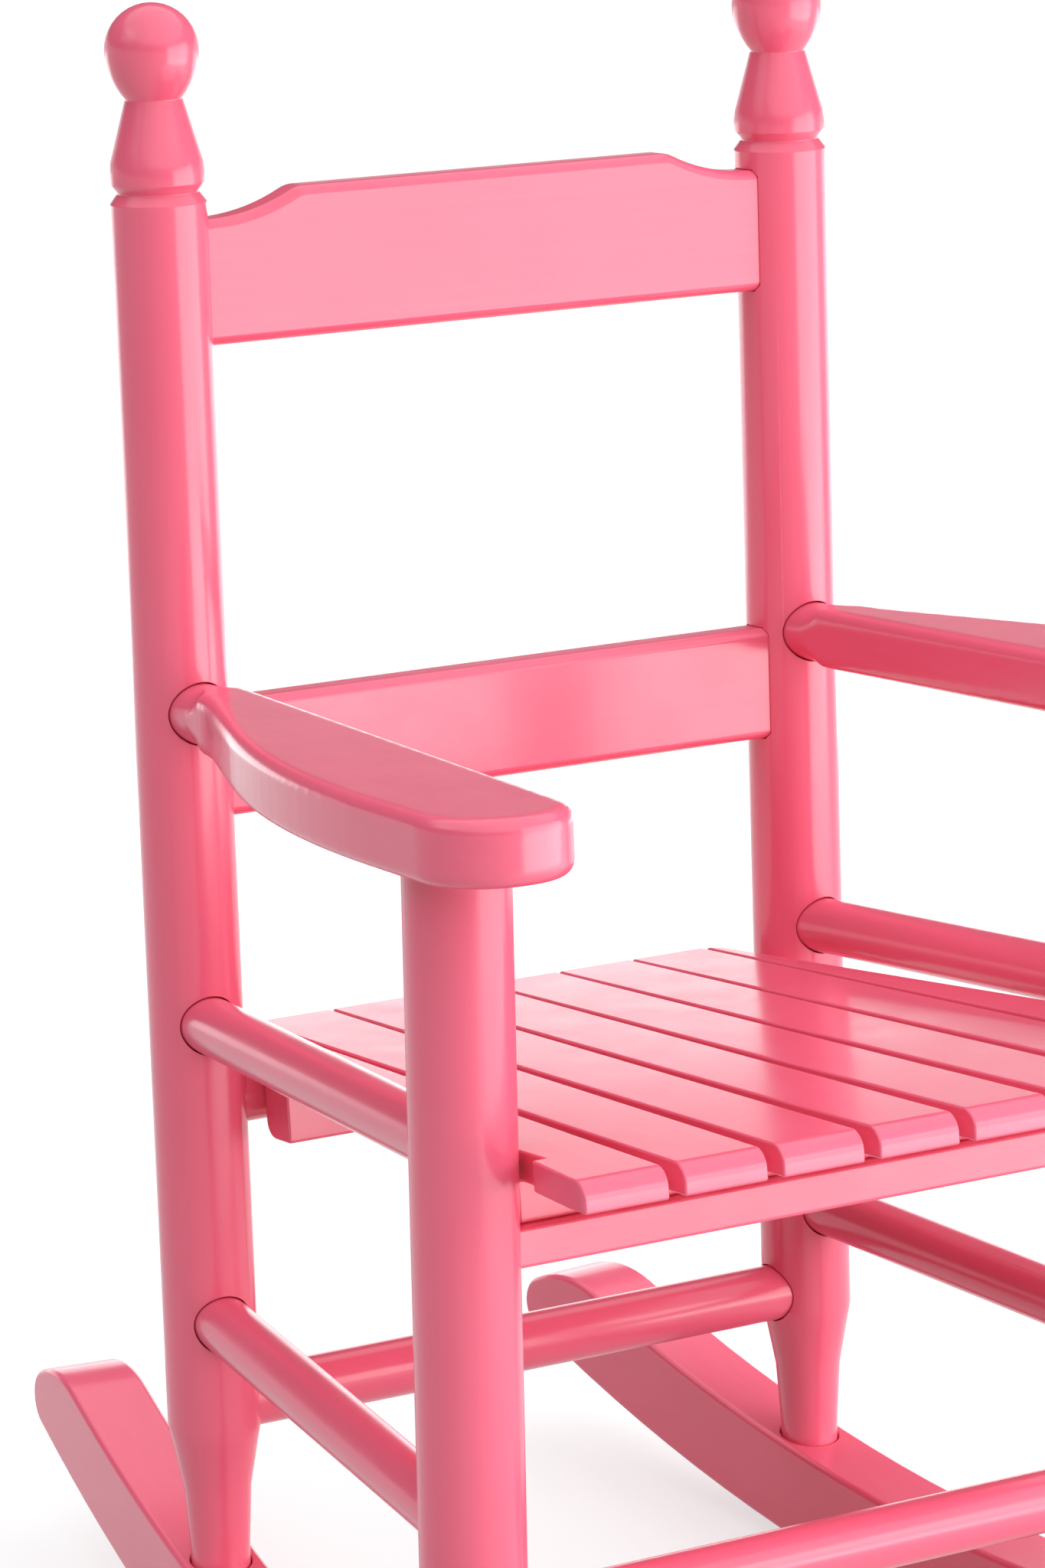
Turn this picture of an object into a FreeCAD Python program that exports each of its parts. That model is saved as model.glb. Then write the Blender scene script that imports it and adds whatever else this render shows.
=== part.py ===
import FreeCAD, Part
import math
import os

from FreeCAD import Placement, Rotation, Vector

# A child's rocking chair of painted wood, in millimetres. It faces -Y, +X is the sitter's left side,
# +Z is up and the floor is at zero. The origin lies on the floor under the middle of the rockers.
# Turned posts stand in two splayed rockers, round stretchers and two back rails hold them apart,
# and a fanned seat of eight slats lies on a round stretcher behind and on a flat rail in front.

# Plan and rockers; a reach runs along a rocker from the point where it touches the floor
back_post_spacing = 240.0
front_post_spacing = 288.4
foot_span = 228.0
back_foot_reach = 90.4
rocker_rear_reach = 260.0
rocker_front_reach = 238.0
rocker_bottom_radius = 800.8
rocker_height = 34.3
rocker_width = 28.5
rocker_tip_radius = 52.0
rocker_nose_radius = 11.0
rocker_edge_chamfer = 1.4

# Turned posts; heights run along a post from the top of the rocker
back_post_diameter = 32.0
front_post_diameter = 33.4
back_post_lean = 3.73
front_post_lean = 2.39
foot_diameter = 20.5
foot_tenon_depth = 16.0
foot_plain_height = 4.0
foot_taper_height = 50.0
flare_step_count = 2

# Finial of a back post
post_shoulder_height = 468.1
groove_diameter = 26.9
groove_rise = 3.4
collar_diameter = 31.5
collar_rise = 3.0
collar_height = 5.1
collar_bevel = 1.9
cone_height = 22.4
neck_diameter = 19.0
ball_diameter = 31.0
ball_lower_height = 15.8

# Round stretchers
stretcher_diameter = 19.5
cross_stretcher_diameter = 20.2
stretcher_end_inset = 5.0
upper_stretcher_back_height = 192.4
upper_stretcher_front_height = 209.0
lower_stretcher_back_height = 88.9
lower_stretcher_front_height = 86.4
rear_stretcher_height = 56.0
front_stretcher_height = 55.8

# Crest rail and lower back slat
back_rail_thickness = 14.0
back_rail_front_offset = 7.5
back_rail_end_inset = 9.0
back_rail_edge_chamfer = 2.2
crest_bottom_height = 420.0
crest_end_width = 41.9
crest_rise = 8.4
crest_flat_half_width = 71.6
crest_sweep_run = 32.4
crest_corner_radius = 11.0
lower_slat_bottom_height = 261.3
lower_slat_width = 39.6

# Arms; a reach runs forward from the back post's axis, an offset runs outward from it
arm_height = 299.3
arm_tilt = 4.72
arm_thickness = 21.0
arm_tenon_diameter = 20.5
arm_tenon_inset = 8.5
arm_tenon_length = 13.0
arm_tenon_runout = 25.0
arm_straight_reach = 20.0
arm_length = 289.5
arm_front_run = 58.0
arm_swing_straight = 43.7
arm_rear_swing_share = 0.2
arm_inner_front_offset = 8.0
arm_outer_front_offset = 54.6
arm_inner_corner_share = 0.44
arm_outer_corner_share = 0.54
arm_edge_chamfer = 2.6
arm_post_tenon_diameter = 18.0
arm_post_tenon_depth = 12.0

# Seat, in a plane that falls towards the back; a reach runs along it from the back posts' axes
seat_height = 184.3
seat_slope = 7.4
slat_count = 8
slat_width = 29.0
slat_thickness = 9.8
slat_rear_pitch = 30.1
slat_front_margin = 0.9
slat_rear_reach = 16.8
slat_front_reach = 288.5
slat_nose_radius = 6.2
seat_rear_half_width = 95.2
seat_front_inset = 8.4
seat_corner_radius = 10.0
post_notch_clearance = 1.2
rear_cleat_depth = 17.0
rear_cleat_height = 25.0
rear_cleat_overhang = 2.0
rear_cleat_corner_radius = 6.0
front_cleat_depth = 17.0
front_cleat_height = 13.6
front_cleat_setback = 6.0
front_rail_depth = 18.0
front_rail_height = 12.3
front_rail_lead = 8.2
front_rail_end_inset = 6.0
cleat_edge_radius = 1.2

# Fits
socket_clearance = 0.4
mortise_clearance = 0.12
seat_rest_gap = 0.3
cut_overrun = 8.0
match_share = 0.02
half_turn_share = 0.5

X_AXIS = Vector(1, 0, 0)
Y_AXIS = Vector(0, 1, 0)
Z_AXIS = Vector(0, 0, 1)
ORIGIN = Vector(0, 0, 0)

# Places that follow from the sizes, on the sitter's left side
splay = math.asin((front_post_spacing - back_post_spacing) / 2 / foot_span)
rocker_top_radius = rocker_bottom_radius - rocker_height
contact_x = back_post_spacing / 2 + back_foot_reach * math.sin(splay)
contact_y = (rocker_front_reach - rocker_rear_reach) / 2 * math.cos(splay)


def foot_point(reach):
    """Point on top of the left rocker, in its middle plane."""
    height = rocker_bottom_radius - math.sqrt(rocker_top_radius ** 2 - reach ** 2)
    return Vector(contact_x - reach * math.sin(splay), contact_y + reach * math.cos(splay), height)


def upward(angle):
    """Direction up along something that leans back by an angle."""
    return Vector(0, math.sin(math.radians(angle)), math.cos(math.radians(angle)))


def forward(angle):
    """Direction forward along something whose front is raised by an angle."""
    return Vector(0, -math.cos(math.radians(angle)), math.sin(math.radians(angle)))


back_foot = foot_point(back_foot_reach)
front_foot = foot_point(back_foot_reach - foot_span)


def back_point(height):
    return back_foot + upward(back_post_lean) * height


def front_point(height):
    return front_foot + upward(front_post_lean) * height


def centred(point):
    """The point's place on the chair's middle plane."""
    return Vector(0, point.y, point.z)


crest_shoulder_height = crest_bottom_height + crest_end_width
crest_top_height = crest_shoulder_height + crest_rise
lower_slat_top_height = lower_slat_bottom_height + lower_slat_width
arm_origin = back_point(arm_height)
seat_origin = centred(back_point(seat_height))
rear_seat_stretcher_drop = slat_thickness + seat_rest_gap + cross_stretcher_diameter / 2
rear_slope = math.radians(seat_slope - back_post_lean)
rear_seat_stretcher_height = seat_height - rear_seat_stretcher_drop / math.cos(rear_slope)
rear_cleat_back = cross_stretcher_diameter / 2 + seat_rest_gap
rear_cleat_back -= rear_seat_stretcher_drop * math.tan(rear_slope)
front_rail_top = slat_thickness + front_cleat_height
seat_front_half_width = front_post_spacing / 2 - seat_front_inset
slat_front_pitch = (seat_front_half_width - slat_front_margin - slat_width / 2) * 2 / (slat_count - 1)
post_top_height = ((arm_origin - front_foot).dot(upward(arm_tilt)) - arm_thickness / 2)
post_top_height = post_top_height / math.cos(math.radians(arm_tilt - front_post_lean))
post_top = front_point(post_top_height)


def leaned(shape, origin, angle):
    """Shape carried to an origin and leaned back by an angle about a line across the chair."""
    moved = shape.copy()
    moved.Placement = Placement(origin, Rotation(X_AXIS, -angle)).multiply(shape.Placement)
    return moved


def mirrored(shape):
    """The same piece for the other side of the chair."""
    return shape.mirror(ORIGIN, X_AXIS)


def line(start, end):
    return Part.LineSegment(start, end).toShape()


def chain(points):
    """Straight edges from point to point."""
    return [line(a, b) for a, b in zip(points, points[1:])]


def arc_point(start, heading, end, share):
    """Point at a share of an arc that leaves its start along a heading and runs to its end."""
    chord = end - start
    ahead = chord.dot(heading)
    aside = chord - heading * ahead
    half_angle = math.atan2(aside.Length, ahead)
    radius = chord.Length / (2 * math.sin(half_angle))
    angle = 2 * half_angle * share
    across = aside.normalize() * (radius * (1 - math.cos(angle)))
    return start + heading * (radius * math.sin(angle)) + across


def swept_arc(start, heading, end):
    return Part.Arc(start, arc_point(start, heading, end, half_turn_share), end).toShape()


def flare(start, heading, end):
    """The same bend as a few plain tapers."""
    shares = [step / flare_step_count for step in range(1, flare_step_count)]
    return chain([start] + [arc_point(start, heading, end, share) for share in shares] + [end])


def extruded(edges, run):
    return Part.Face(Part.Wire(edges)).extrude(run)


def revolved(edges, axis):
    return Part.Face(Part.Wire(edges)).revolve(ORIGIN, axis, 360)


def block(low, high):
    """Box between two opposite corners."""
    size = high - low
    return Part.makeBox(size.x, size.y, size.z, low)


def matches(value, target):
    """Whether two coordinates are the same but for rounding."""
    return abs(value - target) < match_share * mortise_clearance


def edges_where(shape, test):
    """Edges that pass a test at both ends and in the middle."""
    chosen = []
    for edge in shape.Edges:
        centre = edge.valueAt((edge.FirstParameter + edge.LastParameter) / 2)
        if all(test(point) for point in [vertex.Point for vertex in edge.Vertexes] + [centre]):
            chosen.append(edge)
    return chosen


def cut_all(shape, tools):
    for tool in tools:
        shape = shape.cut(tool)
    return shape


def rod(start, end, diameter, inset):
    """Round bar between two post axes, its ends an inset short of them."""
    direction = (end - start).normalize()
    length = (end - start).Length - 2 * inset
    return Part.makeCylinder(diameter / 2, length, start + direction * inset, direction)


# Turned posts
def foot_edges(radius):
    """Half outline of a foot: tenon, then a hollow flare up to the full post."""
    foot = foot_diameter / 2
    flare_start = Vector(foot, 0, foot_plain_height)
    tenon_end = -foot_tenon_depth
    tenon = chain([Vector(0, 0, tenon_end), Vector(foot, 0, tenon_end), flare_start])
    return tenon + flare(flare_start, Z_AXIS, Vector(radius, 0, foot_taper_height))


def turned_post(radius, edges, top):
    """Post turned from its foot and the half outline above it, which ends on the axis."""
    axis_edge = line(Vector(0, 0, top), Vector(0, 0, -foot_tenon_depth))
    return revolved(foot_edges(radius) + edges + [axis_edge], Z_AXIS)


def back_post_blank():
    """Back post with a groove, a bevelled collar, a cone and a ball turned at its top."""
    radius = back_post_diameter / 2
    collar = collar_diameter / 2
    neck = neck_diameter / 2
    ball = ball_diameter / 2
    groove_height = post_shoulder_height + groove_rise
    collar_bottom = groove_height + collar_rise
    collar_top = collar_bottom + collar_height
    neck_height = collar_top + cone_height
    ball_height = neck_height + ball_lower_height
    top = ball_height + ball
    bevelled = collar - (collar - neck) * collar_bevel / cone_height
    outline = [(radius, foot_taper_height), (radius, post_shoulder_height),
               (groove_diameter / 2, groove_height), (collar, collar_bottom),
               (collar, collar_top - collar_bevel), (bevelled, collar_top + collar_bevel),
               (neck, neck_height)]
    widest = Vector(ball, 0, ball_height)
    edges = chain([Vector(x, 0, z) for x, z in outline])
    edges.append(swept_arc(widest, Z_AXIS * -1, Vector(neck, 0, neck_height)))
    edges.append(swept_arc(widest, Z_AXIS, Vector(0, 0, top)))
    return leaned(turned_post(radius, edges, top), back_foot, back_post_lean)


def arm_post_tenon(grown=0.0):
    """Round tenon between a front post and the arm above it, square to the arm."""
    base = post_top - upward(arm_tilt) * arm_post_tenon_depth
    radius = arm_post_tenon_diameter / 2 + grown
    return Part.makeCylinder(radius, 2 * arm_post_tenon_depth, base, upward(arm_tilt))


def front_post_blank():
    """Plain post, sawn off along the arm's underside, with a tenon on top."""
    radius = front_post_diameter / 2
    top = post_top_height + front_post_diameter
    edges = chain([Vector(radius, 0, foot_taper_height), Vector(radius, 0, top), Vector(0, 0, top)])
    post = leaned(turned_post(radius, edges, top), front_foot, front_post_lean)
    reach = 2 * front_post_diameter
    waste = block(Vector(-reach, -reach, 0), Vector(reach, reach, reach))
    return post.cut(leaned(waste, post_top, arm_tilt)).fuse(arm_post_tenon()).removeSplitter()


# Round stretchers
def side_stretcher(back_height, front_height, grown=0.0):
    diameter = stretcher_diameter + 2 * grown
    return rod(back_point(back_height), front_point(front_height), diameter, stretcher_end_inset)


def cross_stretcher(end, grown=0.0):
    """Bar from a post on the left to its twin on the right."""
    start = Vector(-end.x, end.y, end.z)
    return rod(start, end, cross_stretcher_diameter + 2 * grown, stretcher_end_inset)


# Crest rail and lower back slat, drawn across the chair and up along the back posts
back_rail_half_length = back_post_spacing / 2 - back_rail_end_inset


def on_back(shape):
    return leaned(shape, centred(back_foot), back_post_lean)


def crest_edges():
    """Outline of the crest: level shoulders at the posts, hollow sweeps up to a flat top."""
    half = back_rail_half_length
    low = crest_shoulder_height
    high = crest_top_height
    foot = crest_flat_half_width + crest_sweep_run

    def sweep(side):
        crown = Vector(side * crest_flat_half_width, 0, high)
        return swept_arc(Vector(side * foot, 0, low), X_AXIS * -side, crown)

    sides = chain([Vector(foot, 0, low), Vector(half, 0, low), Vector(half, 0, crest_bottom_height),
                   Vector(-half, 0, crest_bottom_height), Vector(-half, 0, low), Vector(-foot, 0, low)])
    crown = line(Vector(-crest_flat_half_width, 0, high), Vector(crest_flat_half_width, 0, high))
    return sides + [sweep(-1), crown, sweep(1)]


def slat_edges(bottom, top, grown=0.0):
    """Outline of a straight board that ends in the back posts."""
    half = back_rail_half_length
    low = bottom - grown
    high = top + grown
    corners = [Vector(-half, 0, low), Vector(half, 0, low), Vector(half, 0, high), Vector(-half, 0, high)]
    return chain(corners + corners[:1])


def back_board(edges, grown=0.0):
    board = extruded(edges, Y_AXIS * (back_rail_thickness + 2 * grown))
    board.translate(Y_AXIS * -(back_rail_front_offset + grown))
    return board


def eased_back_board(board, grown=0.0):
    """Board with its long edges bevelled, front and back."""
    front = -back_rail_front_offset - grown
    back = grown + back_rail_thickness - back_rail_front_offset
    half = back_rail_half_length

    def on_face(point):
        return matches(point.y, front) or matches(point.y, back)

    ends = edges_where(board, lambda point: matches(abs(point.x), half))
    long_edges = [edge for edge in edges_where(board, on_face) if not any(edge.isSame(end) for end in ends)]
    return board.makeChamfer(back_rail_edge_chamfer, long_edges)


def crest_rail():
    board = back_board(crest_edges())
    crown_ends = edges_where(board, lambda point: matches(abs(point.x), crest_flat_half_width)
                             and matches(point.z, crest_top_height))
    return on_back(eased_back_board(board.makeFillet(crest_corner_radius, crown_ends)))


def back_slat(bottom, top, grown=0.0):
    """Straight board between the back posts; grown gives its mortises."""
    return on_back(eased_back_board(back_board(slat_edges(bottom, top, grown), grown), grown))


# Arms, drawn from the back post's axis with forward as -Y
def arm_tenon_hole():
    start = arm_origin + forward(arm_tilt) * arm_tenon_inset
    radius = arm_tenon_diameter / 2 + socket_clearance
    return Part.makeCylinder(radius, arm_tenon_length, start, forward(arm_tilt))


def swing_edges():
    """Outer edge of an arm from its tenon to its full width: hollow, straight, then full."""
    start = Vector(arm_tenon_diameter / 2, -arm_straight_reach, 0)
    end = Vector(arm_outer_front_offset, arm_front_run - arm_length, 0)
    drift = end.x - start.x
    run = start.y - end.y
    radii = (drift ** 2 + run ** 2 - arm_swing_straight ** 2) / (2 * drift)
    turn = math.atan2(run, radii - drift) - math.atan2(arm_swing_straight, radii)
    rear_radius = arm_rear_swing_share * radii
    front_radius = radii - rear_radius
    bend = Vector(1 - math.cos(turn), -math.sin(turn), 0)
    leave = start + bend * rear_radius
    join = end - bend * front_radius
    return [swept_arc(end, Y_AXIS, join), line(join, leave), swept_arc(start, Y_AXIS * -1, leave)]


def arm_board():
    """Flat arm that swings outward to a wide rounded front."""
    half = arm_thickness / 2
    tenon = arm_tenon_diameter / 2
    rear = -arm_tenon_inset
    straight = -arm_straight_reach
    front = -arm_length
    inner = arm_inner_front_offset
    outer = arm_outer_front_offset
    edges = chain([Vector(tenon, straight, 0), Vector(tenon, rear, 0), Vector(-tenon, rear, 0),
                   Vector(-tenon, straight, 0), Vector(inner, front, 0), Vector(outer, front, 0),
                   Vector(outer, front + arm_front_run, 0)])
    board = extruded(edges + swing_edges(), Z_AXIS * arm_thickness)
    board.translate(Z_AXIS * -half)
    for offset, share in ((inner, arm_inner_corner_share), (outer, arm_outer_corner_share)):
        corner = edges_where(board, lambda point: matches(point.x, offset) and matches(point.y, front))
        board = board.makeFillet(share * (outer - inner), corner)
    rim = edges_where(board, lambda point: matches(abs(point.z), half))
    rim = [edge for edge in rim if not all(point.Point.y > straight - half for point in edge.Vertexes)]
    return board.makeChamfer(arm_edge_chamfer, rim)


def arm():
    """Arm whose rear end is turned down to a round tenon that runs out into the flat."""
    tenon = arm_tenon_diameter / 2
    rear = -arm_tenon_inset
    shoulder = rear - arm_tenon_length
    wide = tenon + arm_tenon_runout
    flare_end = shoulder - arm_tenon_runout
    front = -arm_length - cut_overrun
    runout = swept_arc(Vector(tenon, shoulder, 0), Y_AXIS * -1, Vector(wide, flare_end, 0))
    edges = chain([Vector(0, rear, 0), Vector(tenon, rear, 0), Vector(tenon, shoulder, 0)]) + [runout]
    clear = wide + arm_outer_front_offset
    edges += chain([Vector(wide, flare_end, 0), Vector(clear, flare_end, 0), Vector(clear, front, 0),
                    Vector(0, front, 0), Vector(0, rear, 0)])
    body = arm_board().common(revolved(edges, Y_AXIS))
    return leaned(body, arm_origin, arm_tilt).cut(arm_post_tenon(socket_clearance))


# Rockers, drawn in the plane of their bend and then splayed
def rocker_blank():
    """Bent rocker between two arcs; at each tip the top rounds down to a nose near the underside."""
    centre = Vector(0, 0, rocker_bottom_radius)
    tip_centre_radius = rocker_top_radius + rocker_tip_radius
    tip_cosine = tip_centre_radius ** 2 + rocker_tip_radius ** 2 - rocker_bottom_radius ** 2
    tip_angle = math.acos(tip_cosine / (2 * tip_centre_radius * rocker_tip_radius))
    nose_turn = math.asin(rocker_tip_radius * math.sin(tip_angle) / rocker_bottom_radius)

    def on_arc(radius, angle):
        return centre + Vector(0, math.sin(angle), -math.cos(angle)) * radius

    def tip_point(side, turn_share):
        """Point on the round of a tip, from its start on top to the nose."""
        angle = side_angles[side]
        direction = angle - side * turn_share * tip_angle
        pivot = on_arc(tip_centre_radius, angle)
        return pivot + Vector(0, -math.sin(direction), math.cos(direction)) * rocker_tip_radius

    nose_angles = {1: math.asin(rocker_rear_reach / rocker_bottom_radius),
                   -1: -math.asin(rocker_front_reach / rocker_bottom_radius)}
    side_angles = {side: angle - side * nose_turn for side, angle in nose_angles.items()}
    top = Part.Arc(tip_point(1, 0), on_arc(rocker_top_radius, 0), tip_point(-1, 0)).toShape()
    bottom = Part.Arc(tip_point(-1, 1), on_arc(rocker_bottom_radius, 0), tip_point(1, 1)).toShape()
    front_tip, rear_tip = [Part.Arc(tip_point(side, 0), tip_point(side, half_turn_share),
                                    tip_point(side, 1)).toShape() for side in (-1, 1)]
    body = extruded([bottom, rear_tip, top, front_tip], X_AXIS * rocker_width)
    body.translate(X_AXIS * (-rocker_width / 2))
    noses = [tip_point(side, 1) for side in (-1, 1)]
    corners = edges_where(body, lambda point: any(matches(point.y, nose.y) and matches(point.z, nose.z)
                                                  for nose in noses))
    body = body.makeFillet(rocker_nose_radius, corners)
    rims = edges_where(body, lambda point: matches(abs(point.x), rocker_width / 2))
    body = body.makeChamfer(rocker_edge_chamfer, rims)
    body.Placement = Placement(Vector(contact_x, contact_y, 0), Rotation(Z_AXIS, math.degrees(splay)))
    return body


def foot_hole(foot, lean):
    bottom = foot - upward(lean) * foot_tenon_depth
    radius = foot_diameter / 2 + socket_clearance
    return Part.makeCylinder(radius, foot_tenon_depth + cut_overrun, bottom, upward(lean))


# Seat, drawn with the seat's top as zero and forward as -Y
def on_seat(shape):
    return leaned(shape, seat_origin, seat_slope)


def slat_line(place, reach):
    """Centre of a slat across the chair, at a reach forward of the back posts."""
    share = (reach + slat_rear_reach) / (slat_front_reach + slat_rear_reach)
    return place * (slat_rear_pitch + share * (slat_front_pitch - slat_rear_pitch))


def seat_half_width(reach):
    share = (reach + slat_rear_reach) / (slat_front_reach + slat_rear_reach)
    return seat_rear_half_width + share * (seat_front_half_width - seat_rear_half_width)


def seat_panel():
    """Outline of the whole seat as a block, its rear corners rounded."""
    front = -slat_front_reach
    corners = [Vector(-seat_front_half_width, front, 0), Vector(seat_front_half_width, front, 0),
               Vector(seat_rear_half_width, slat_rear_reach, 0),
               Vector(-seat_rear_half_width, slat_rear_reach, 0)]
    panel = extruded(chain(corners + corners[:1]), Z_AXIS * -slat_thickness)
    rear = edges_where(panel, lambda point: matches(point.y, slat_rear_reach)
                       and matches(abs(point.x), seat_rear_half_width))
    return panel.makeFillet(seat_corner_radius, rear)


def seat_slat(place):
    """One slat of the fan, counted from the middle of the seat in slat places."""
    rear = slat_line(place, -slat_rear_reach)
    front = slat_line(place, slat_front_reach)
    length = slat_rear_reach + slat_front_reach
    half = slat_width / 2 / math.cos(math.atan2(front - rear, length))
    corners = [Vector(rear - half, slat_rear_reach, 0), Vector(front - half, -slat_front_reach, 0),
               Vector(front + half, -slat_front_reach, 0), Vector(rear + half, slat_rear_reach, 0)]
    slat = extruded(chain(corners + corners[:1]), Z_AXIS * -slat_thickness).common(seat_panel())
    nose = edges_where(slat, lambda point: matches(point.z, 0) and matches(point.y, -slat_front_reach))
    return slat.makeFillet(slat_nose_radius, nose)


def front_post_place(depth):
    """Where a front post's axis passes at a depth below the seat's top; forward is negative."""
    level = upward(seat_slope)
    height = ((seat_origin - front_foot).dot(level) - depth) / upward(front_post_lean).dot(level)
    return -(front_point(height) - seat_origin).dot(forward(seat_slope))


def post_notch():
    """Straight notch for the left front post in the outer edge of the seat."""
    half = front_post_diameter / 2 + post_notch_clearance
    place = front_post_place(0)
    inner = front_post_spacing / 2 - half
    return block(Vector(inner, place - half, -slat_thickness - cut_overrun),
                 Vector(seat_front_half_width + cut_overrun, place + half, cut_overrun))


def eased_bar(bar, radius):
    """Bar with its long edges rounded."""
    length = bar.BoundBox.XLength
    return bar.makeFillet(radius, [edge for edge in bar.Edges if matches(edge.Length, length)])


def rear_cleat():
    """Bar under the slats, in front of the stretcher, with a well rounded lower rear edge."""
    front = -rear_cleat_back - rear_cleat_depth
    bottom = -slat_thickness - rear_cleat_height
    half = seat_half_width(rear_cleat_back) + rear_cleat_overhang
    bar = block(Vector(-half, front, bottom), Vector(half, -rear_cleat_back, -slat_thickness))
    lower_rear = edges_where(bar, lambda point: matches(point.y, -rear_cleat_back)
                             and matches(point.z, bottom))
    bar = bar.makeFillet(rear_cleat_corner_radius, lower_rear)
    lower_front = edges_where(bar, lambda point: matches(point.y, front) and matches(point.z, bottom))
    return on_seat(bar.makeFillet(cleat_edge_radius, lower_front))


def front_rail_blank(grown=0.0):
    """Flat rail between the front posts, in the slope of the seat."""
    half = front_post_spacing / 2 - front_rail_end_inset
    front = front_post_place(front_rail_top) - front_rail_lead
    low = Vector(-half, front - grown, -front_rail_top - front_rail_height - grown)
    high = Vector(half, front + front_rail_depth + grown, -front_rail_top + grown)
    return block(low, high)


def front_cleat():
    """Packing bar on the front rail, under the slats, from post to post."""
    front = front_post_place(front_rail_top) - front_rail_lead + front_cleat_setback
    half = (front_post_spacing - front_post_diameter) / 2 - post_notch_clearance
    bar = block(Vector(-half, front, -front_rail_top),
                Vector(half, front + front_cleat_depth, -slat_thickness))
    return on_seat(bar)


# Fitting the pieces together
slat_places = [index - (slat_count - 1) / 2 for index in range(slat_count)]
upper_heights = (upper_stretcher_back_height, upper_stretcher_front_height)
lower_heights = (lower_stretcher_back_height, lower_stretcher_front_height)
rear_end = back_point(rear_stretcher_height)
rear_seat_end = back_point(rear_seat_stretcher_height)
front_end = front_point(front_stretcher_height)
side_holes = [side_stretcher(*heights, socket_clearance) for heights in (upper_heights, lower_heights)]

crest_heights = (crest_bottom_height, crest_shoulder_height)
lower_slat_heights = (lower_slat_bottom_height, lower_slat_top_height)

back_post = cut_all(back_post_blank(), side_holes + [
    cross_stretcher(rear_end, socket_clearance), cross_stretcher(rear_seat_end, socket_clearance),
    arm_tenon_hole(), back_slat(*crest_heights, mortise_clearance),
    back_slat(*lower_slat_heights, mortise_clearance)])
front_post = cut_all(front_post_blank(), side_holes + [
    cross_stretcher(front_end, socket_clearance), on_seat(front_rail_blank(mortise_clearance))])
rocker = cut_all(rocker_blank(), [
    foot_hole(back_foot, back_post_lean), foot_hole(front_foot, front_post_lean)])

pieces = {"back_post": back_post, "front_post": front_post, "rocker": rocker, "arm": arm(),
          "upper_side_stretcher": side_stretcher(*upper_heights),
          "lower_side_stretcher": side_stretcher(*lower_heights)}
nodes = {}
for name, shape in pieces.items():
    nodes[name + "_left"] = shape
    nodes[name + "_right"] = mirrored(shape)

nodes["crest_rail"] = crest_rail()
nodes["lower_back_slat"] = back_slat(*lower_slat_heights)
nodes["front_stretcher"] = cross_stretcher(front_end)
nodes["rear_stretcher"] = cross_stretcher(rear_end)
nodes["rear_seat_stretcher"] = cross_stretcher(rear_seat_end)
nodes["front_seat_rail"] = on_seat(eased_bar(front_rail_blank(), cleat_edge_radius))
nodes["front_seat_cleat"] = front_cleat()
nodes["rear_seat_cleat"] = rear_cleat()

notch = on_seat(post_notch())
for index, place in enumerate(slat_places):
    slat = on_seat(seat_slat(place))
    nodes["seat_slat_" + str(index + 1)] = cut_all(slat, [notch, mirrored(notch)])

os.makedirs("parts", exist_ok=True)
for name, shape in nodes.items():
    shape.exportStep("parts/" + name + ".step")
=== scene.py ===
import math

import bpy
from mathutils import Matrix, Vector

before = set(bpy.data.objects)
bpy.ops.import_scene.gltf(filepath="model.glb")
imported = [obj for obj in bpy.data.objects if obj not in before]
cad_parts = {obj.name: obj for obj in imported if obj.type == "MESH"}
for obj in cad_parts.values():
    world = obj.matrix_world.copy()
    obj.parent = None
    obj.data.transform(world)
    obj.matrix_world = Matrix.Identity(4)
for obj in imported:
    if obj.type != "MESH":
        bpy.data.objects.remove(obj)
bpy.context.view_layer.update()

scene = bpy.context.scene
scene.view_settings.view_transform = "Standard"

# The photograph's frame in pixels, and its viewing angle
IMAGE_WIDTH = 1365
IMAGE_HEIGHT = 2048
FOCAL_PIXELS = 7455.7
CENTRE_PIXELS = (704.26, 1078.70)
SENSOR = 36.0
CLIP_END = 200.0
CAMERA_PLACE = Vector((-0.93235, -1.56775, 0.80519))
CAMERA_AZIMUTH = math.radians(-29.686)
CAMERA_ELEVATION = math.radians(15.351)

# Colours, each linear
PINK = (0.86, 0.125, 0.210, 1.0)
PINK_DEEP = (0.82, 0.100, 0.180, 1.0)
PINK_PALE = (0.89, 0.180, 0.270, 1.0)
# Lighter pink for the eased edges: worn paint, and also a painted highlight along them
PINK_WORN_AND_HIGHLIGHT = (0.90, 0.270, 0.350, 1.0)
FLOOR = (0.48, 0.48, 0.48, 1.0)
WHITE = (1.0, 1.0, 1.0, 1.0)
TOP_COLOUR = (0.93, 0.99, 1.0)

# Scales of the paint's patterns per metre, along the wood's grain and across it
CLOUDS = (7.0, 7.0)
STROKES = (6.0, 240.0)
GRAIN = (16.0, 900.0)
WAVES = (26.0, 60.0)
PEEL = (700.0, 700.0)
PATCHES = (55.0, 55.0)

# The parts of a pattern's range that are used
MIDDLE = (0.35, 0.65)
UPPER = (0.40, 0.75)
BROAD = (0.30, 0.70)

# Shares of the other pinks in the paint, from where they show least to where they show most
DEEP_SHARE = (0.0, 0.40)
PALE_SHARE = (0.0, 0.12)
# The edge pink's share stands for worn paint and for a painted highlight on the edges
WORN_AND_HIGHLIGHT_SHARE = (0.1, 0.7)

# How far an edge stands out before it turns lighter, from worn paint and a painted highlight, and
# where it is lightest
EDGE_POINTINESS = (0.56, 0.68)

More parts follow.
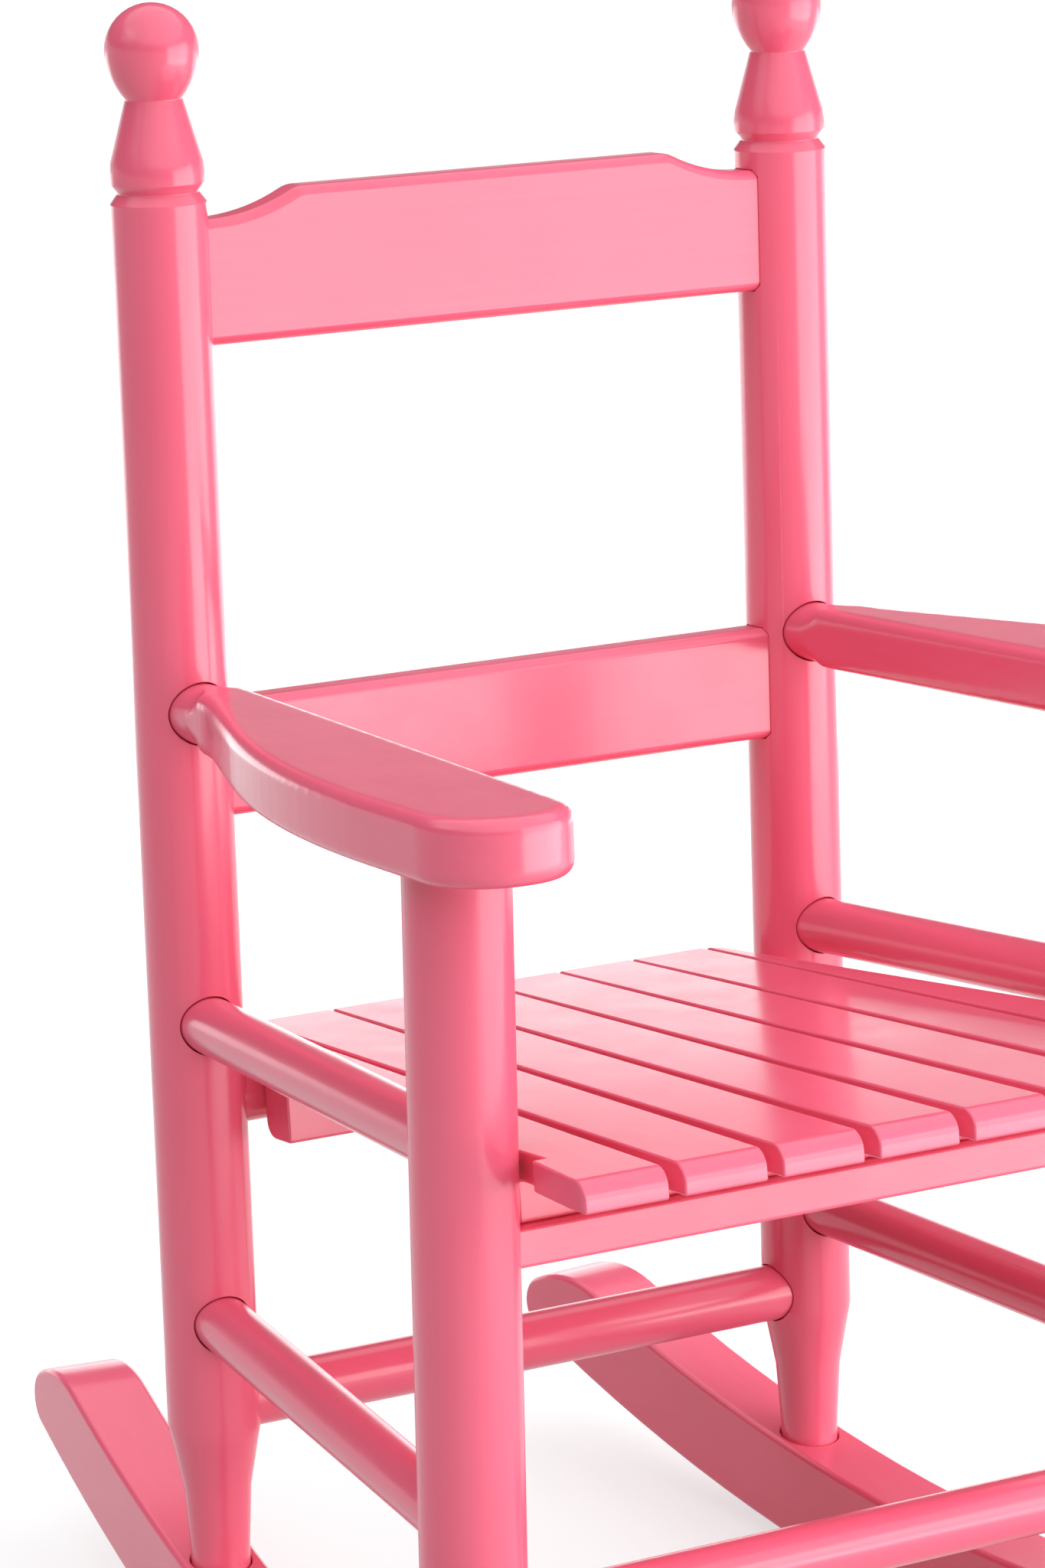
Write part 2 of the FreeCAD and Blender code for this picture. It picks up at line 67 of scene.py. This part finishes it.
# Gloss of the paint and of the floor
PAINT_ROUGHNESS = (0.19, 0.26)
PAINT_IOR = 1.50
COAT_WEIGHT = 0.10
COAT_ROUGHNESS = 0.07
FLOOR_ROUGHNESS = 0.9

# Floor, in metres, and how much of its white is its own glow
FLOOR_REACH = 30.0
FLOOR_DROP = 0.0005
FLOOR_GLOW = 0.60

# Light levels, and the heights between which the backdrop fades out in reflections
STUDIO_LEVEL = 0.15
KEY_POWER = 15.8
KEY_FOOT_POWER = 2.2
CARD_POWER = 0.6
SIDE_POWER = 2.8
TOP_LEVEL = 3.1
BACK_POWER = 5.6
BACKDROP_TOP = (math.sin(math.radians(1.0)), math.sin(math.radians(4.0)))

# How far each kind of piece has its sharp edges eased, in metres
EASED = (("arm", 0.0014), ("crest", 0.0012), ("lower_back", 0.0012), ("rocker", 0.0007),
         ("seat_slat", 0.0008), ("front_seat", 0.0008), ("rear_seat_cleat", 0.0008))
EASED_REST = 0.0003
EASED_SEGMENTS = 3
SHARP_ANGLE = math.radians(24.0)

# Points this near in metres are joined, and faces this near to one plane
JOIN_DISTANCE = 0.000004
FLAT_ANGLE = math.radians(0.3)

# Fineness of the arms' blended surface in metres, how far and how often it is smoothed
BLEND_GRAIN = 0.0008
BLEND_FACTOR = 0.5
BLEND_ROUNDS = 14

# How much larger faces count for more in the shading; 50 is by their area alone
SHADE_WEIGHT = 50


def add(tree, kind, **sockets):
    """A new node of that kind, with the named input sockets set."""
    made = tree.nodes.new(kind)
    for name, value in sockets.items():
        made.inputs[name.replace("_", " ")].default_value = value
    return made


def blank(name, **sockets):
    """A material, its tree, its Principled shader with the named sockets set, and its surface."""
    material = bpy.data.materials.new(name)
    material.use_nodes = True
    tree = material.node_tree
    tree.nodes.clear()
    surface = add(tree, "ShaderNodeOutputMaterial").inputs["Surface"]
    shader = add(tree, "ShaderNodeBsdfPrincipled", **sockets)
    return material, tree, shader, surface


def stretched(tree, axis, scales, detail, roughness):
    """Noise in the piece's own coordinates, with one scale along the axis and one across it."""
    lengthways, across = scales
    place = add(tree, "ShaderNodeTexCoord")
    mapping = add(tree, "ShaderNodeMapping",
                  Scale=tuple(lengthways if k == axis else across for k in range(3)))
    noise = add(tree, "ShaderNodeTexNoise", Scale=1.0, Detail=detail, Roughness=roughness)
    tree.links.new(place.outputs["Object"], mapping.inputs["Vector"])
    tree.links.new(mapping.outputs["Vector"], noise.inputs["Vector"])
    return noise.outputs["Fac"]


def ranged(tree, value, source, target):
    """The value taken from one range into another, held at its ends."""
    made = add(tree, "ShaderNodeMapRange", From_Min=source[0], From_Max=source[1],
               To_Min=target[0], To_Max=target[1])
    tree.links.new(value, made.inputs["Value"])
    return made.outputs["Result"]


def combined(tree, operation, first, second):
    """The result of a named operation on two values."""
    made = add(tree, "ShaderNodeMath")
    made.operation = operation
    tree.links.new(first, made.inputs[0])
    tree.links.new(second, made.inputs[1])
    return made.outputs["Value"]


def blended(tree, factor, first, second):
    """Two colours mixed by a factor; the first may be a socket."""
    made = add(tree, "ShaderNodeMix")
    made.data_type = "RGBA"
    tree.links.new(factor, made.inputs["Factor"])
    colours = [s for s in made.inputs if s.type == "RGBA"]
    if isinstance(first, tuple):
        colours[0].default_value = first
    else:
        tree.links.new(first, colours[0])
    colours[1].default_value = second
    return [s for s in made.outputs if s.type == "RGBA"][0]


def mixed(tree, factor, first, second):
    """Two shaders mixed by a factor, which may be a socket."""
    made = add(tree, "ShaderNodeMixShader")
    if isinstance(factor, float):
        made.inputs[0].default_value = factor
    else:
        tree.links.new(factor, made.inputs[0])
    tree.links.new(first, made.inputs[1])
    tree.links.new(second, made.inputs[2])
    return made.outputs["Shader"]


def bumped(tree, height, strength, distance, below=None):
    """A bump of a height, on top of another bump if one is given."""
    made = add(tree, "ShaderNodeBump", Strength=strength, Distance=distance)
    tree.links.new(height, made.inputs["Height"])
    if below:
        tree.links.new(below, made.inputs["Normal"])
    return made.outputs["Normal"]


def edges(tree):
    """High along the edges that stand out, where paint wears thin and a painted highlight
    lightens them.
    """
    surface = add(tree, "ShaderNodeNewGeometry")
    return ranged(tree, surface.outputs["Pointiness"], EDGE_POINTINESS, (0.0, 1.0))


def paint(name, axis):
    """Glossy pink paint, brushed on planed wood whose grain runs along the axis."""
    material, tree, shader, surface = blank(
        name, IOR=PAINT_IOR, Coat_Weight=COAT_WEIGHT, Coat_Roughness=COAT_ROUGHNESS)
    clouds = stretched(tree, axis, CLOUDS, detail=3.0, roughness=0.5)
    strokes = stretched(tree, axis, STROKES, detail=4.0, roughness=0.55)
    grain = stretched(tree, axis, GRAIN, detail=3.0, roughness=0.6)
    waves = stretched(tree, axis, WAVES, detail=1.0, roughness=0.4)
    peel = stretched(tree, axis, PEEL, detail=1.0, roughness=0.5)
    patches = stretched(tree, axis, PATCHES, detail=5.0, roughness=0.6)

    colour = blended(tree, ranged(tree, clouds, MIDDLE, DEEP_SHARE), PINK, PINK_DEEP)
    colour = blended(tree, ranged(tree, strokes, UPPER, PALE_SHARE), colour, PINK_PALE)
    # Lighter pink on the edges that stand out: worn paint, and a painted highlight along them
    worn_and_highlight = ranged(tree, patches, MIDDLE, WORN_AND_HIGHLIGHT_SHARE)
    worn_and_highlight = combined(tree, "MULTIPLY", edges(tree), worn_and_highlight)
    colour = blended(tree, worn_and_highlight, colour, PINK_WORN_AND_HIGHLIGHT)
    tree.links.new(colour, shader.inputs["Base Color"])

    gloss = ranged(tree, patches, BROAD, PAINT_ROUGHNESS)
    tree.links.new(gloss, shader.inputs["Roughness"])

    normal = bumped(tree, waves, strength=0.30, distance=0.00022)
    normal = bumped(tree, strokes, strength=0.12, distance=0.00008, below=normal)
    normal = bumped(tree, grain, strength=0.10, distance=0.00004, below=normal)
    normal = bumped(tree, peel, strength=0.08, distance=0.00003, below=normal)
    tree.links.new(normal, shader.inputs["Normal"])

    tree.links.new(shader.outputs["BSDF"], surface)
    return material


def grain_axis(name):
    """The axis that the piece's wood grain runs along."""
    if "post" in name:
        return 2
    if name.startswith(("seat_slat", "arm", "rocker", "upper_side", "lower_side")):
        return 1
    return 0


def seamless():
    """Modifier group that joins a piece's faces along their shared edges, shaded smoothly."""
    group = bpy.data.node_groups.new("seamless", "GeometryNodeTree")
    group.interface.new_socket("Geometry", in_out="INPUT", socket_type="NodeSocketGeometry")
    group.interface.new_socket("Geometry", in_out="OUTPUT", socket_type="NodeSocketGeometry")
    flow = add(group, "NodeGroupInput").outputs[0]
    for attribute in ("custom_normal", "sharp_edge", "sharp_face"):
        drop = add(group, "GeometryNodeRemoveAttribute", Name=attribute)
        group.links.new(flow, drop.inputs["Geometry"])
        flow = drop.outputs["Geometry"]
    join = add(group, "GeometryNodeMergeByDistance", Distance=JOIN_DISTANCE)
    group.links.new(flow, join.inputs["Geometry"])
    smooth = add(group, "GeometryNodeSetShadeSmooth")
    group.links.new(join.outputs["Geometry"], smooth.inputs["Geometry"])
    group.links.new(smooth.outputs["Geometry"], add(group, "NodeGroupOutput").inputs[0])
    return group


def eased(name):
    """How far the piece's sharp edges are eased."""
    for start, width in EASED:
        if name.startswith(start):
            return width
    return EASED_REST


def flatten(piece):
    """Faces that lie in one plane joined into one."""
    flat = piece.modifiers.new("flat", "DECIMATE")
    flat.decimate_type = "DISSOLVE"
    flat.angle_limit = FLAT_ANGLE


def ease(piece, width):
    """Sharp edges rounded off as sanding and paint leave them."""
    flatten(piece)
    round_off = piece.modifiers.new("round", "BEVEL")
    round_off.width = width
    round_off.segments = EASED_SEGMENTS
    round_off.limit_method = "ANGLE"
    round_off.angle_limit = SHARP_ANGLE
    round_off.use_clamp_overlap = False
    round_off.loop_slide = False


def blend(piece):
    """A piece whose round and flat parts run into each other without an edge."""
    knit = piece.modifiers.new("knit", "REMESH")
    knit.mode = "VOXEL"
    knit.voxel_size = BLEND_GRAIN
    knit.use_smooth_shade = True
    soften = piece.modifiers.new("soften", "SMOOTH")
    soften.factor = BLEND_FACTOR
    soften.iterations = BLEND_ROUNDS
    flatten(piece)


def dress():
    """Every piece of the frame gets its paint and its eased edges."""
    paints = [paint("pink_paint_" + letter, axis) for axis, letter in enumerate("xyz")]
    group = seamless()
    for name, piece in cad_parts.items():
        piece.data.materials.clear()
        piece.data.materials.append(paints[grain_axis(name)])
        piece.modifiers.new("seamless", "NODES").node_group = group
        ease(piece, eased(name))
        if name.startswith("arm"):
            blend(piece)
        piece.modifiers.new("shade", "WEIGHTED_NORMAL").weight = SHADE_WEIGHT


def surroundings():
    """A dim studio with a white backdrop, which reflections show up to its top edge."""
    world = bpy.data.worlds.new("studio")
    scene.world = world
    world.use_nodes = True
    tree = world.node_tree
    tree.nodes.clear()
    place = add(tree, "ShaderNodeTexCoord")
    axes = add(tree, "ShaderNodeSeparateXYZ")
    tree.links.new(place.outputs["Generated"], axes.inputs["Vector"])
    low = ranged(tree, axes.outputs["Z"], BACKDROP_TOP, (1.0, 0.0))
    rays = add(tree, "ShaderNodeLightPath").outputs
    white = combined(tree, "MAXIMUM", rays["Is Camera Ray"], rays["Is Transmission Ray"])
    mirrored = combined(tree, "MULTIPLY", rays["Is Glossy Ray"], low)
    white = combined(tree, "MAXIMUM", white, mirrored)
    light = add(tree, "ShaderNodeBackground", Color=WHITE, Strength=STUDIO_LEVEL)
    seen = add(tree, "ShaderNodeBackground", Color=WHITE, Strength=1.0)
    studio = mixed(tree, white, light.outputs["Background"], seen.outputs["Background"])
    output = add(tree, "ShaderNodeOutputWorld")
    tree.links.new(studio, output.inputs["Surface"])


def floor():
    """A plain pale floor, white to the eye and in reflections, that keeps a faint shadow."""
    corners = [(x * FLOOR_REACH, y * FLOOR_REACH, 0.0)
               for x, y in ((-1, -1), (1, -1), (1, 1), (-1, 1))]
    mesh = bpy.data.meshes.new("floor")
    mesh.from_pydata(corners, [], [(0, 1, 2, 3)])
    sheet = bpy.data.objects.new("floor", mesh)
    scene.collection.objects.link(sheet)
    sheet.location.z = -FLOOR_DROP
    material, tree, shader, surface = blank(
        "floor_paper", Base_Color=FLOOR, Roughness=FLOOR_ROUGHNESS, Specular_IOR_Level=0.0)
    rays = add(tree, "ShaderNodeLightPath").outputs
    bright = combined(tree, "MAXIMUM", rays["Is Camera Ray"], rays["Is Glossy Ray"])
    bright = combined(tree, "MAXIMUM", bright, rays["Is Transmission Ray"])
    shaded = add(tree, "ShaderNodeBsdfDiffuse", Color=WHITE)
    glow = add(tree, "ShaderNodeEmission", Color=WHITE, Strength=1.0)
    white = mixed(tree, FLOOR_GLOW, shaded.outputs["BSDF"], glow.outputs["Emission"])
    tree.links.new(mixed(tree, bright, shader.outputs["BSDF"], white), surface)
    mesh.materials.append(material)


def stand(azimuth, elevation=0.0):
    """Direction from the chair to a lamp. Azimuth 0 is in front of it and grows to its left."""
    turn = math.radians(azimuth)
    rise = math.radians(elevation)
    return Vector((math.sin(turn) * math.cos(rise), -math.cos(turn) * math.cos(rise),
                   math.sin(rise)))


def sun(name, azimuth, elevation, level, spread, colour):
    """A soft far lamp."""
    data = bpy.data.lights.new(name, "SUN")
    data.energy = level
    data.color = colour
    data.angle = math.radians(spread)
    lamp = bpy.data.objects.new(name, data)
    lamp.rotation_euler = stand(azimuth, elevation).to_track_quat("Z", "Y").to_euler()
    scene.collection.objects.link(lamp)


def panel(name, azimuth, distance, height, size, power):
    """An upright lamp panel beside the chair, out of the camera's sight."""
    data = bpy.data.lights.new(name, "AREA")
    data.shape = "RECTANGLE"
    data.size, data.size_y = size
    data.energy = power
    lamp = bpy.data.objects.new(name, data)
    lamp.location = stand(azimuth) * distance + Vector((0.0, 0.0, height))
    lamp.rotation_euler = stand(azimuth).to_track_quat("Z", "Y").to_euler()
    lamp.visible_camera = False
    scene.collection.objects.link(lamp)


def lamps():
    """Panels that show as highlights on the paint, and a wide soft light from above."""
    panel("key", azimuth=42.0, distance=1.3, height=0.48, size=(1.65, 0.80), power=KEY_POWER)
    panel("key_foot", azimuth=38.0, distance=1.28, height=0.15, size=(1.5, 0.24),
          power=KEY_FOOT_POWER)
    panel("card", azimuth=38.0, distance=0.75, height=0.09, size=(1.3, 0.14), power=CARD_POWER)
    panel("side", azimuth=-100.0, distance=1.5, height=1.5, size=(0.9, 0.9), power=SIDE_POWER)
    sun("top", azimuth=0.0, elevation=78.0, level=TOP_LEVEL, spread=120.0, colour=TOP_COLOUR)
    panel("back", azimuth=150.0, distance=1.2, height=0.19, size=(3.0, 0.34), power=BACK_POWER)


def camera():
    """The camera at the photograph's viewing angle, with its framing."""
    data = bpy.data.cameras.new("camera")
    data.sensor_fit = "VERTICAL"
    data.sensor_height = SENSOR
    data.lens = FOCAL_PIXELS / IMAGE_HEIGHT * SENSOR
    data.shift_x = (IMAGE_WIDTH / 2 - CENTRE_PIXELS[0]) / IMAGE_HEIGHT
    data.shift_y = (CENTRE_PIXELS[1] - IMAGE_HEIGHT / 2) / IMAGE_HEIGHT
    data.clip_end = CLIP_END
    eye = bpy.data.objects.new("camera", data)
    turn = Matrix.Rotation(CAMERA_AZIMUTH, 4, "Z")
    tilt = Matrix.Rotation(math.pi / 2 - CAMERA_ELEVATION, 4, "X")
    eye.matrix_world = Matrix.Translation(CAMERA_PLACE) @ turn @ tilt
    scene.collection.objects.link(eye)
    scene.camera = eye


dress()
surroundings()
floor()
lamps()
camera()
